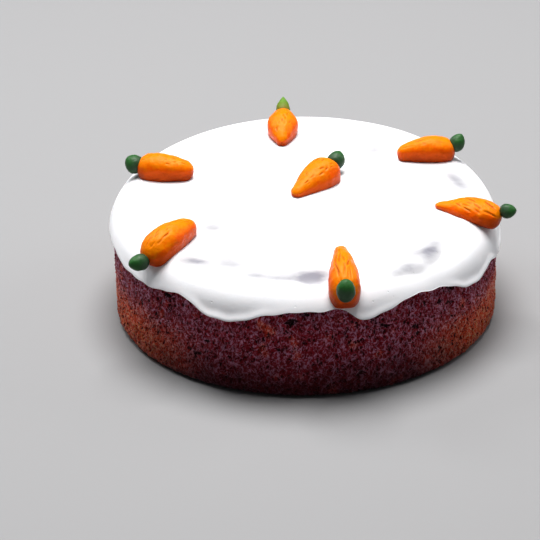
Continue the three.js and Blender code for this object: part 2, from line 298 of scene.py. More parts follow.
@dataclass(frozen=True)
class SpongeFinish(Finish):
    """Dark moist crumb: near-black painted shade in the pores, between red-brown walls with a
    painted mauve sheen.
    """

    name: str = "sponge_crumb"
    # pore: painted shade in the crumb's pores, near black.
    pore: Colour = linear(40, 4, 7)
    crumb: Colour = linear(136, 11, 29)
    # wall: a painted mauve sheen on the crumb's walls.
    wall: Colour = linear(196, 132, 160)
    # warm_sheen_and_reflection: the painted wall sheen, warmed by painted reflection.
    warm_sheen_and_reflection: Colour = linear(255, 168, 112)
    # crust: a real crust tint in random blotches, and painted warm reflection low on the left and
    # right sides.
    crust_and_reflection: Colour = linear(255, 84, 34)
    # foot: painted shade, darker towards the foot.
    foot: Colour = linear(50, 3, 6)
    stretch: Place = (1.0, 1.0, 0.62)
    tear: float = 0.003
    tear_size: float = 0.0024
    grain: float = 0.0008
    strand: float = 0.00176
    bubble: float = 0.0019
    blotch: float = 0.011
    wall_span: Span = (0.24, 0.03)
    grit_and_highlight_span: Span = (0.4, 1.25)
    pore_shade_span: Span = (0.0, 0.55)
    reflection_aside: Span = (0.044, 0.09)
    reflection_height: Span = (0.044, 0.02)
    crust_blotch: Span = (0.56, 0.76)
    shaded_foot_height: Span = (0.036, 0.007)
    shaded_foot_share: float = 0.88
    dryness: float = 0.5
    shine: float = 0.07
    haze: float = 0.14
    haze_spread: float = 0.4
    haze_tint: Colour = (0.72, 0.74, 0.85, 1.0)
    relief: float = 0.0008

    def shade(self, graph: Graph, place: Wire) -> Wire:
        """Adds the crumb's colours with their painted shade, highlights and reflection, its sheen
        and its finest relief.
        """
        pits, ridge = graph.share("pore"), graph.share("ridge")
        torn = graph.drifted(place, self.tear_size, self.tear, 12, 1)
        tall = graph.vector("MULTIPLY", torn, self.stretch)
        fine = (graph.noise(tall, self.grain, 1) - 0.5) * 3
        strand = (graph.noise(tall, self.strand, 3) - 0.5) * 3
        walls = graph.smooth(graph.cells(tall, self.bubble, "DISTANCE_TO_EDGE"), *self.wall_span)
        broad = graph.noise(place, self.blotch, 2)
        aside = graph.axis(place, "X")
        height = aside.other("Z")
        # Painted warm reflection low on the left and right sides, with random blotches of real
        # crust tint.
        reflection_sideways = graph.smooth(graph.maths("ABSOLUTE", aside), *self.reflection_aside)
        baked = graph.smooth(height + broad * 0.02, *self.reflection_height) * reflection_sideways
        baked = graph.maths("MAXIMUM", baked, graph.smooth(broad, *self.crust_blotch) * 0.5)
        # Painted highlight: walls, raised ridges and the crumb's grain take the lighter sheen
        # colour.
        grit_and_highlight = graph.smooth(walls * 0.6 + ridge * 0.4 + fine + strand * 0.6, *self.grit_and_highlight_span)
        ground = graph.mixed(baked, self.crumb, self.crust_and_reflection)
        # The painted sheen colour, warmed by the painted reflection low at the sides.
        light = graph.mixed(baked, self.wall, self.warm_sheen_and_reflection)
        body = graph.mixed(grit_and_highlight, ground, light)
        # Painted shade: the deeper a pore, the nearer it goes to the near-black pore colour.
        pore_shade = graph.smooth(pits * 0.8 - walls * 0.5 - fine - strand * 0.6, *self.pore_shade_span)
        body = graph.mixed(pore_shade, body, self.pore)
        # Painted shade: the colour goes darker towards the foot, less where the painted reflection
        # is.
        low = graph.smooth(height + broad * 0.012, *self.shaded_foot_height)
        body = graph.mixed(low * (self.shaded_foot_share - baked * 0.3), body, self.foot)
        inputs = {
            "Base Color": body,
            "Roughness": grit_and_highlight * -0.14 + self.dryness + pore_shade * 0.2,
            "Normal": graph.bump(fine * 0.3 + strand * 0.3 + walls * 0.3, self.relief),
            "Specular IOR Level": self.shine,
            "Sheen Weight": self.haze,
            "Sheen Roughness": self.haze_spread,
            "Sheen Tint": self.haze_tint,
        }
        return graph.surface(inputs)


@dataclass(frozen=True)
class IcingFinish(Finish):
    """Poured white icing, smooth with a soft gloss, and painted shade in the knife's hollows."""

    name: str = "white_icing"
    white: Colour = (0.90, 0.90, 0.925, 1.0)
    shade_white: Colour = (0.84, 0.84, 0.87, 1.0)
    # The next two colours are painted shade in the knife's hollows, grey and dark.
    hollow_grey: Colour = (0.56, 0.56, 0.575, 1.0)
    hollow_dark: Colour = (0.2, 0.198, 0.232, 1.0)
    shade_span: Span = (0.45, 0.75)
    hollow_grey_span: Span = (0.03, 0.2)
    dark_hollow_span: Span = (0.02, 0.75)
    streak: Place = (0.55, 1.0, 1.0)
    blotch: float = 0.018
    grain: float = 0.0025
    shade_streaks: float = 0.005
    pinholes: float = 0.007
    pinhole_span: Span = (0.075, 0.03)
    pinhole_depth: float = 0.00025
    ripple: float = 0.00006
    gloss: float = 0.22
    glow: float = 0.22
    glow_reach: Place = (1.0, 0.88, 0.84)
    glow_depth: float = 0.0025

    def shade(self, graph: Graph, place: Wire) -> Wire:
        """Adds the icing's white with painted shade in the knife's hollows, its gloss and its faint
        ripples.
        """
        broad, fine = graph.noise(place, self.blotch, 4), graph.noise(place, self.grain, 5, 3)
        shade = graph.smooth(broad, *self.shade_span) * 0.4
        white = graph.mixed(shade, self.white, self.shade_white)
        # Painted shade in the knife's hollows: grey first, then dark in streaks where the patch is
        # deepest.
        hollow_shade = graph.share("hollow_shade")
        white = graph.mixed(graph.smooth(hollow_shade, *self.hollow_grey_span), white, self.hollow_grey)
        shade_streaks = graph.noise(graph.vector("MULTIPLY", place, self.streak), self.shade_streaks, 6, 3)
        dark_hollow_share = graph.smooth(hollow_shade * (shade_streaks * 1.8 + 0.1), *self.dark_hollow_span)
        pinhole = graph.smooth(graph.cells(place, self.pinholes), *self.pinhole_span)
        skin = graph.bump(fine, self.ripple)
        inputs = {
            "Base Color": graph.mixed(dark_hollow_share, white, self.hollow_dark),
            "Roughness": broad * 0.1 + fine * 0.06 + self.gloss,
            "Normal": graph.bump(1 - pinhole, self.pinhole_depth, skin),
            "Subsurface Weight": self.glow,
            "Subsurface Radius": self.glow_reach,
            "Subsurface Scale": self.glow_depth,
        }
        return graph.surface(inputs)


@dataclass(frozen=True)
class MarzipanFinish(Finish):
    """Dyed marzipan with a sugary satin gloss, painted light on its top and painted shade low down
    and in its grooves.
    """

    name: str = "carrot_orange"
    # colour is the painted lit top, side the side, and deep the painted shade low down.
    colour: Colour = linear(226, 120, 1)
    side: Colour = linear(224, 81, 0)
    deep: Colour = linear(168, 52, 0)
    # mark: painted shade in the scored grooves.
    groove_shade: Colour = linear(184, 86, 2)
    sheen: Colour = (1.0, 0.72, 0.35, 1.0)
    gloss: float = 0.27
    glow: float = 0.05
    shine: float = 0.15
    blotch: float = 0.005
    grain: float = 0.0011
    lit_top_span: Span = (0.55, 1.0)
    deep_shade_span: Span = (0.6, 0.08)
    groove_shade_span: Span = (0.1, 0.8)
    relief: float = 0.0003
    glow_reach: Place = (1.0, 0.45, 0.2)
    glow_depth: float = 0.0015

    def shade(self, graph: Graph, place: Wire) -> Wire:
        """Adds the marzipan's uneven colour with painted light on top and painted shade low down
        and in the grooves, the gloss and the hand-rolled surface.
        """
        broad, fine = graph.noise(place, self.blotch, 7), graph.noise(place, self.grain, 8, 3)
        upper, groove = graph.share("upper"), graph.share("groove")
        shift = (broad - 0.5) * 0.7 + (fine - 0.5) * 0.4
        # Painted light and shade: lighter towards the top, darker towards the underside or the
        # bud's base.
        dye_light_and_shade = graph.mixed(graph.smooth(upper + shift, *self.lit_top_span), self.side, self.colour)
        dye_light_and_shade = graph.mixed(graph.smooth(upper + shift * 0.6, *self.deep_shade_span), dye_light_and_shade, self.deep)
        # Painted shade: deeper grooves take the darker groove colour.
        groove_shaded = graph.smooth(groove + (fine - 0.5) * 0.5, *self.groove_shade_span)
        inputs = {
            "Base Color": graph.mixed(groove_shaded, dye_light_and_shade, self.groove_shade),
            "Roughness": fine * 0.14 + broad * 0.08 + self.gloss,
            "Normal": graph.bump(fine * 0.8 + broad, self.relief),
            "Subsurface Weight": self.glow,
            "Subsurface Radius": self.glow_reach,
            "Subsurface Scale": self.glow_depth,
            "Specular IOR Level": self.shine,
            "Specular Tint": self.sheen,
        }
        return graph.surface(inputs)


ORANGE = MarzipanFinish()
# The buds take the same painted light towards their point and painted shade at their base.
GREEN = MarzipanFinish(
    name="bud_green",
    colour=linear(34, 84, 34),
    side=linear(42, 72, 44),
    deep=linear(28, 58, 36),
    groove_shade=linear(16, 40, 24),
    sheen=(0.9, 1.0, 0.85, 1.0),
    gloss=0.34,
    glow=0.03,
    shine=0.24,
)
PALE_GREEN = MarzipanFinish(
    name="bud_pale_green",
    colour=linear(90, 128, 46),
    side=linear(94, 118, 34),
    deep=linear(120, 92, 14),
    groove_shade=linear(60, 90, 20),
    sheen=(0.95, 1.0, 0.8, 1.0),
    gloss=0.39,
    glow=0.1,
    shine=0.2,
)


# ---------- Meshes ----------


@dataclass(frozen=True)
class Lumps:
    """Smooth random relief, the sum of waves in random directions, in millimetres.

    Size is about how far apart neighbouring lumps are.
    """

    size: float
    height: float
    seed: int
    waves: int = 28
    lengths: Span = (0.7, 1.7)

    def relief_at(self, points: Array, batch: int = 0) -> Array:
        """Works out the relief.

        Args:
            points: Places, with x, y and z along the last axis.
            batch: Chooses other lumps of the same kind.

        Returns:
            The relief at each place, mostly within the height either way.
        """
        draw = np.random.default_rng(self.seed + batch)
        directions = draw.normal(size=(self.waves, 3))
        directions /= np.linalg.norm(directions, axis=1, keepdims=True)
        lengths = self.size * draw.uniform(*self.lengths, self.waves)
        phases = draw.uniform(0, 2 * math.pi, self.waves)
        total = np.zeros(points.shape[:-1])
        for direction, length, phase in zip(directions, lengths, phases):
            total += np.sin(points @ direction * (2 * math.pi / length) + phase)
        return total / math.sqrt(2 * self.waves) * self.height


def around(columns: int) -> Array:
    """Gives the directions of a ring's columns."""
    return np.arange(columns) * (2 * math.pi / columns)


def ring_points(angle: Array, radius: Any, height: Any) -> Array:
    """Stacks rings of points from directions, radii and heights."""
    radius, angle, height = np.broadcast_arrays(radius, angle, height)
    return np.stack([radius * np.cos(angle), radius * np.sin(angle), height], axis=-1)


def steps(first: int, last: int) -> Array:
    """Counts up or down from one whole number to another, as a column with a row a ring."""
    way = 1 if first <= last else -1
    return np.arange(first, last + way, way)[:, None]


def rounded_share(step: Array, count: int) -> Array:
    """Gives the share of a quarter turn's fall after a number of even steps of the turn."""
    return 1 - np.cos(step / count * math.pi / 2)


def end_to_end(rows: int) -> Array:
    """Gives each ring's share of the way from pole to pole, closest at both poles."""
    return (1 - np.cos(steps(1, rows - 1) / rows * math.pi)) / 2


def placed(name: str, data: bpy.types.ID) -> Piece:
    """Puts a mesh, lamp or camera into the scene as an object."""
    item = bpy.data.objects.new(name, data)
    bpy.context.scene.collection.objects.link(item)
    return item


def mesh_object(name: str, points: Sequence[Place], faces: Sequence[Any]) -> Piece:
    """Makes an object from points in metres and faces."""
    mesh = bpy.data.meshes.new(name)
    mesh.from_pydata(points, [], faces)
    return placed(name, mesh)


def closed_piece(name: str, first_pole: Array, rings: Array, last_pole: Array) -> Piece:
    """Makes a closed mesh from rings stacked from a first pole to a last pole.

    Seen from the last pole, each ring runs counterclockwise.

    Args:
        name: The piece's name.
        first_pole: The point that closes the first ring, in millimetres.
        rings: Ring, column and coordinate, in millimetres.
        last_pole: The point that closes the last ring, in millimetres.

    Returns:
        The piece, at the origin, smooth shaded.
    """
    count, columns, _ = rings.shape
    points = np.vstack([first_pole, rings.reshape(-1, 3), last_pole]) * MM
    here = np.arange(columns)
    after = (here + 1) % columns
    faces = [(0, 1 + b, 1 + a) for a, b in zip(here.tolist(), after.tolist())]
    for ring in range(count - 1):
        low, high = 1 + ring * columns, 1 + (ring + 1) * columns
        quads = np.stack([low + here, low + after, high + after, high + here], axis=1)
        faces.extend(map(tuple, quads.tolist()))
    top, last = 1 + (count - 1) * columns, len(points) - 1
    faces.extend((top + a, top + b, last) for a, b in zip(here.tolist(), after.tolist()))
    piece = mesh_object(name, points.tolist(), faces)
    piece.data.shade_smooth()
    return piece


def keep_share(piece: Piece, name: str, rings: Array, poles: float) -> None:
    """Keeps a share for each point of a closed piece, for its finish to read.

    Args:
        piece: The piece, as closed_piece made it.
        name: The attribute's name.
        rings: The share of each point, by ring and column.
        poles: The share of both poles.
    """
    shares = np.concatenate([[poles], rings.ravel(), [poles]]).astype(np.float32)
    piece.data.attributes.new(name, "FLOAT", "POINT").data.foreach_set("value", shares)


def settle_nodes(piece: Piece, tree: Tree) -> None:
    """Runs a geometry tree on a piece and keeps its result as the piece's plain mesh.

    Args:
        piece: The piece, whose mesh is replaced.
        tree: The geometry tree, with its inputs' values as defaults.
    """
    modifier = piece.modifiers.new(tree.name, "NODES")
    modifier.node_group = tree
    for item in tree.interface.items_tree:
        if item.in_out == "INPUT" and item.socket_type != "NodeSocketGeometry":
            modifier[item.identifier] = item.default_value
    graph = bpy.context.evaluated_depsgraph_get()
    result = bpy.data.meshes.new_from_object(
        piece.evaluated_get(graph), preserve_all_data_layers=True, depsgraph=graph
    )
    piece.modifiers.remove(modifier)
    raw = piece.data
    piece.data = result
    result.name = piece.name
    bpy.data.meshes.remove(raw)


def geometry_tree(name: str, sizes: dict[str, float]) -> tuple[Graph, Wire]:
    """Starts a geometry tree with named inputs.

    Args:
        name: The tree's name.
        sizes: The value of each named input.

    Returns:
        The graph, and its Geometry input, whose node has the named inputs too.
    """
    tree = bpy.data.node_groups.new(name, "GeometryNodeTree")
    face = tree.interface
    face.new_socket("Geometry", in_out="INPUT", socket_type="NodeSocketGeometry")
    for label, value in sizes.items():
        socket = face.new_socket(label, in_out="INPUT", socket_type="NodeSocketFloat")
        socket.default_value = value
    face.new_socket("Geometry", in_out="OUTPUT", socket_type="NodeSocketGeometry")
    graph = Graph(tree)
    return graph, graph.node("NodeGroupInput", None, None, "Geometry")


def end_tree(graph: Graph, geometry: Wire, finish: Finish) -> Tree:
    """Ends a geometry tree in real, finished geometry.

    Args:
        graph: The tree's graph.
        geometry: What the tree made.
        finish: The finish that it takes.

    Returns:
        The whole tree.
    """
    real = graph.node("GeometryNodeRealizeInstances", None, {"Geometry": geometry})
    inputs = {"Geometry": real, "Material": finish.material()}
    dressed = graph.node("GeometryNodeSetMaterial", None, inputs)
    graph.node("NodeGroupOutput", None, {"Geometry": dressed})
    return graph.tree


def enter(piece: Piece, slot: Slot, *nodes: str) -> None:
    """Rides a piece on the cake and says what it stands for.

    Args:
        piece: The finished piece.
        slot: The material slot that it takes its finish from.
        *nodes: The solids that it replaces.
    """
    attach(piece, BODY)
    if nodes:
        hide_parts(*nodes)
    LOG.info("%s: %d faces, slot %s", piece.name, len(piece.data.polygons), slot.value)


# ---------- The form of the icing ----------


@dataclass(frozen=True)
class Tongue:
    """A place where the icing ran further down. Angles are degrees about +Z from +X.

    Plump is how far it swells out for each millimetre that it ran down.
    """

    at: float
    left: float
    right: float
    drop: float
    plump: float = 0.2
    squareness: float = 2.2

    def drop_at(self, angle: Array) -> Array:
        """Gives how far the tongue ran down in directions, in millimetres."""
        turn = (np.degrees(angle) - self.at + 180) % 360 - 180
        reach = np.where(turn < 0, self.left, self.right)
        return self.drop * np.exp(-((np.abs(turn) / reach) ** self.squareness))


@dataclass(frozen=True)
class Hollow:
    """A shallow hollow that the palette knife left, in millimetres and degrees."""

    x: float
    y: float
    long: float
    short: float
    turn: float
    depth: float

    def depth_at(self, x: Array, y: Array) -> Array:
        """Gives the hollow's depth at places."""
        turn = math.radians(self.turn)
        dx, dy = x - self.x, y - self.y
        along = (dx * math.cos(turn) + dy * math.sin(turn)) / self.long
        across = (dy * math.cos(turn) - dx * math.sin(turn)) / self.short
        return self.depth * np.exp(-(along**2) - across**2)


TONGUES = (
    Tongue(-148, 13.5, 5, 3, 0.15),
    Tongue(-140, 4.5, 6, 3.2, 0.1),
    Tongue(-115.5, 8.5, 14, 6.9, 0.24),
    Tongue(-74, 3.5, 10.5, 5.6, 0.16),
    Tongue(-33, 10, 11.5, 8.7, 0.18),
    Tongue(-13, 8.5, 27, 7.9, 0.16),
    Tongue(43, 10, 12, 5),
    Tongue(72, 12, 8, 6.5),
    Tongue(100, 7, 10, 3.5),
    Tongue(128, 12, 9, 6),
    Tongue(160, 9, 12, 4),
)

HOLLOWS = (
    Hollow(-1, -85, 15, 6, 0, 0.7),
    Hollow(-33, -68, 12, 6, -40, 0.7),
    Hollow(-46, -34, 5, 4, 0, 0.3),
    Hollow(54, -75, 10, 6, 20, 0.6),
    Hollow(68, -57, 10, 7, 60, 0.8),
    Hollow(88, 15, 14, 7, -68, 1.4),
)


# Painted shade in the knife's hollows, greying the icing's colour where the hollows fall into
# shade. Depth is how dark it is.
HOLLOW_SHADE_PATCHES = (
    Hollow(3, -83, 8.5, 6.5, 2, 0.84),
    Hollow(-12, -83, 11, 3.5, 5, 0.36),
    Hollow(-25, -80, 6, 3.5, 8, 0.36),
    Hollow(-37, -68, 8, 5, -30, 0.36),
    Hollow(-54, -66, 8, 3, -25, 0.56),
    Hollow(-46, -33, 5, 4, 0, 0.36),
    Hollow(62.5, -56.5, 9.5, 4, 72, 0.56),
    Hollow(55, -60, 8, 4, 10, 0.26),
    Hollow(51.5, -71.5, 5.4, 3, 15, 0.46),
    Hollow(45, -76, 7, 3, 35, 0.24),
    Hollow(79, 13, 13, 4, -68, 0.46),
    Hollow(35, 48, 7, 5, 0, 0.32),
)


@dataclass(frozen=True)
class IcingForm:
    """The poured icing's outside and underside, in millimetres.

    Each wave of the edge is its count round the cake and its phase.
    """

    radius: float = 99.8
    lean: float = 0.65
    rim: float = 17.5
    height: float = 62.8
    crown: float = 1.0
    top_thickness: float = 3.0
    bead: float = 0.1
    bead_height: float = 0.6
    bead_spread: float = 2.2
    lip: float = 0.65
    slope: Span = (-0.005, 0.0405)
    edge_level: float = 48.3
    edge_waver: float = 0.22
    edge_waves: tuple[Span, ...] = ((17, 0), (31, 1), (53, 2))
    inner_radius: float = 98.3
    inner_rim: float = 16.5

    @property
    def inner_height(self) -> float:
        """Height of the flat of the underside."""
        return self.height - self.top_thickness

    @staticmethod
    def radius_at_depth(radius: Any, rim: float, depth: Array) -> Array:
        """Gives the radius of a round-rimmed disc at a depth below its flat top."""
        left = np.clip(rim - depth, 0, None)
        return radius - rim + np.sqrt(rim**2 - left**2)

    def slope_at(self, x: Array, y: Array) -> Array:
        """Gives how much the uneven bake lifts the top at places."""
        return self.slope[0] * x + self.slope[1] * y

    def slope_around(self, angle: Array, radius: Any) -> Array:
        """Gives how much the uneven bake lifts the top, in directions and at radii."""
        return self.slope_at(radius * np.cos(angle), radius * np.sin(angle))

    def sloped_rings(self, angle: Array, radius: Array, height: Array) -> Array:
        """Makes rings from directions, radii and heights before the slope is added."""
        return ring_points(angle, radius, height + self.slope_around(angle, radius))

    def crown_at(self, distance: Array) -> Array:
        """Gives how much the middle of the top stands proud."""
        share = np.minimum(1, distance / (self.radius - self.rim))
        return self.crown * (1 - share**2) ** 2

    def side_radius(self, angle: Array) -> Array:
        """Gives the outer radius in a direction, without the swelling at the edge."""
        return self.radius - self.lean * np.cos(angle)

    def edge_height(self, angle: Array) -> Array:
        """Gives the height of the hanging edge in a direction."""
        waver = sum(np.sin(count * angle + phase) for count, phase in self.edge_waves)
        fall = sum(tongue.drop_at(angle) for tongue in TONGUES)
        return self.edge_level - fall + self.edge_waver * waver

    def swelling(self, angle: Array, above_edge: Array) -> Array:
        """Gives how far the icing swells out at a height above its edge."""
        fullest = self.bead + sum(tongue.plump * tongue.drop_at(angle) for tongue in TONGUES)
        above = np.maximum(0, above_edge - self.bead_height)
        return fullest * np.exp(-((above / self.bead_spread) ** 2))

    def unsloped_edge(self, angle: Array) -> Array:
        """Gives the edge's height before the slope of the top is added."""
        return self.edge_height(angle) - self.slope_around(angle, self.radius)

    def outer(self, angle: Array, height: Array) -> Array:
        """Gives the outer radius at a height before the slope is added."""
        smooth = self.radius_at_depth(self.side_radius(angle), self.rim, self.height - height)
        return smooth + self.swelling(angle, height - self.unsloped_edge(angle))

    def inner(self, height: Array) -> Array:
        """Gives the underside's radius at a height before the slope is added."""
        return self.radius_at_depth(self.inner_radius, self.inner_rim, self.inner_height - height)

    def lift_off(self, points: Array, gap: float) -> Array:
        """Moves points out of the icing, square to its surface.

        Args:
            points: Places in millimetres.
            gap: How far they have to clear the icing; less than nothing lets them sink in.

        Returns:
            The moved places.
        """
        x, y, z = points[..., 0], points[..., 1], points[..., 2]
        angle, distance = np.arctan2(y, x), np.hypot(x, y)
        outward = np.stack([np.cos(angle), np.sin(angle), np.zeros_like(angle)], axis=-1)
        radius = self.side_radius(angle) + self.swelling(angle, z - self.edge_height(angle))
        over_side = distance - (radius - self.rim)
        over_top = z - (self.height + self.crown_at(distance) + self.slope_at(x, y) - self.rim)
        flat = (over_side <= 0) | (over_top <= 0)
        upward = np.array([0.0, 0.0, 1.0])
        flat_way = np.where((over_top > over_side)[..., None], upward, outward)
        flat_reach = np.maximum(over_side, over_top)
        reach = np.maximum(np.hypot(over_side, over_top), TINY)
        aside, above = (over_side / reach)[..., None], (over_top / reach)[..., None]
        way = np.where(flat[..., None], flat_way, outward * aside + upward * above)
        lift = np.maximum(0, gap + self.rim - np.where(flat, flat_reach, reach))
        return points + way * lift[..., None]

    def point_above(self, place: Span, rise: float) -> Array:
        """Gives the point at a height above the icing, measured square to its surface."""
        x, y = place
        distance = math.hypot(x, y)
        top = self.height + float(self.crown_at(np.array(distance))) + self.slope_at(x, y)
        over_side = distance - (float(self.side_radius(math.atan2(y, x))) - self.rim)
        if over_side <= 0:
            return np.array([x, y, top + rise])
        over_top = math.sqrt(max(0, (self.rim + rise) ** 2 - over_side**2))
        return np.array([x, y, top - self.rim + over_top])


# ---------- Sponge ----------


@dataclass(frozen=True)
class Bubbles:
    """One kind of burst bubble. Its width and depth are shares of the sponge's pore's.

    Rim is where a bubble starts and middle where it is deepest, as shares of its width from its
    wall. Shut is the share of the bubbles that stay whole.
    """

    width: float
    depth: float
    shut: float
    rim: float = 0.05
    middle: float = 0.3
    stretch: Place = (1.0, 1.0, 0.62)
    shift: Place = (0.0, 0.0, 0.0)
    half_shut: float = 0.12

    def depth_at(self, graph: Graph, place: Wire, pore: Wire) -> Wire:
        """Adds the bubbles.

        Args:
            graph: The crumb's graph.
            place: Where they are looked up.
            pore: The sponge's pore width.

        Returns:
            How deep the crumb is open, as a share of the pore depth.
        """
        place = graph.vector("ADD", graph.vector("MULTIPLY", place, self.stretch), self.shift)
        width = pore * self.width
        wall = graph.cells(place, width, "DISTANCE_TO_EDGE")
        chance = graph.axis(graph.cells(place, width).other("Color"), "X")
        burst = graph.smooth(chance, self.shut, self.shut + self.half_shut)
        return graph.smooth(wall, self.rim, self.middle) * burst * self.depth


BUBBLES = (
    Bubbles(1, 1, 0.4),
    Bubbles(0.6, 0.7, 0.3, shift=(1.7, 0.9, 0.4)),
    Bubbles(3, 1.6, 0.86, 0.12, stretch=(1.0, 1.0, 1.7)),
)


@dataclass
class Sponge:
    """The baked sponge with its open, torn crumb, in millimetres.

    The fades are the bands at the foot and under the icing where the crumb closes. The drift
    shifts the crumb at random, over areas of the drift size.
    """

    radius: float = 98.0
    foot_rounding: float = 4.0
    foot_inset: float = 3.0
    gap: float = 0.3
    columns: int = 960
    foot_rows: int = 10
    side_rows: int = 74
    side_top: float = 50.0
    rim_rows: int = 7
    top_rows: int = 3
    pore_width: float = 2.2
    pore_depth: float = 1.0
    lump: float = 1.4
    lump_middle: float = 0.52
    foot_fade: float = 1.2
    top_fade: float = 2.0
    drift_size: float = 1 / 0.42
    drift: float = 2.8
    ridge_span: Span = (0.4, 0.66)
    seed: int = 11
    form: IcingForm = IcingForm()
    finish: SpongeFinish = SpongeFinish()

    def rings(self) -> Array:
        """Lays out the smooth sponge that the crumb is torn into.

        Returns:
            Its rings from the base up, in millimetres.
        """
        form, angle = self.form, around(self.columns)
        height = self.foot_rounding * rounded_share(steps(0, self.foot_rows), self.foot_rows)
        radius = form.radius_at_depth(self.radius, self.foot_rounding, height)
        inset = ring_points(angle, radius[:1] - self.foot_inset, 0.0)
        foot = ring_points(angle, radius, height)
        top, rim = form.inner_height - self.gap, form.inner_rim + self.gap
        slope = form.slope_around(angle, self.radius)
        height = np.linspace(self.foot_rounding, self.side_top, self.side_rows + 1)[1:, None]
        radius = form.radius_at_depth(self.radius, rim, top - (height - slope))
        side = ring_points(angle, radius, height)
        start = np.sqrt(np.maximum(0, 1 - ((self.side_top - slope - top + rim) / rim) ** 2))
        share = steps(1, self.rim_rows) / self.rim_rows
        turn = np.arccos(np.clip(start, 0, 1)) * (1 - share) + math.pi / 2 * share
        radius = self.radius - rim + rim * np.cos(turn)
        shoulder = form.sloped_rings(angle, radius, top - rim + rim * np.sin(turn))
        radius = (self.radius - rim) * steps(self.top_rows - 1, 1) / self.top_rows
        flat = form.sloped_rings(angle, radius, top + form.crown_at(radius))
        return np.vstack([inset, foot, side, shoulder, flat])

    def crumb_tree(self) -> Tree:
        """Builds the tree that tears the crumb open.

        Returns:
            A tree that pits and lumps the side, and keeps each point's pit and ridge.
        """
        sizes = {
            "Pore Width": self.pore_width * MM,
            "Pore Depth": self.pore_depth * MM,
            "Lump": self.lump * MM,
            "Foot": self.foot_fade * MM,
            "Cover": self.side_top * MM,
            "Seed": self.seed,
        }
        graph, base = geometry_tree("torn_crumb", sizes)
        width, depth, lump, foot, cover, seed = (base.other(name) for name in sizes)
        position = graph.node("GeometryNodeInputPosition")
        place = graph.drifted(position, self.drift_size * MM, self.drift * MM, seed, 2)
        pore = BUBBLES[0].depth_at(graph, place, width)
        for kind in BUBBLES[1:]:
            pore = graph.maths("MAXIMUM", pore, kind.depth_at(graph, place, width))
        torn = graph.vector("MULTIPLY", place, self.finish.stretch)
        swell = graph.noise(torn, width, seed + 9, 3, 0.65)
        height = graph.axis(position, "Z")
        clear = graph.maths("MAXIMUM", graph.maths("MINIMUM", height / foot, 1.0), 0.0)
        mask = clear * graph.smooth(height, cover, cover - self.top_fade * MM)
        amount = ((swell - self.lump_middle) * 2 * lump - pore * depth) * mask
        offset = graph.vector("SCALE", graph.node("GeometryNodeInputNormal"), amount)
        # The pore share paints shade into the pores.
        kept = graph.keep(graph.moved(base, offset), "pore", pore * mask)
        # The ridge share paints highlights on the raised ridges.
        kept = graph.keep(kept, "ridge", graph.smooth(swell, *self.ridge_span))
        return end_tree(graph, kept, self.finish)

    def build(self) -> None:
        """Makes the sponge, tears its crumb and enters it."""
        top = np.array([0, 0, self.form.inner_height - self.gap + self.form.crown])
        piece = closed_piece("sponge_body", np.zeros(3), self.rings(), top)
        settle_nodes(piece, self.crumb_tree())
        enter(piece, Slot.SPONGE, "sponge")


# ---------- Icing ----------


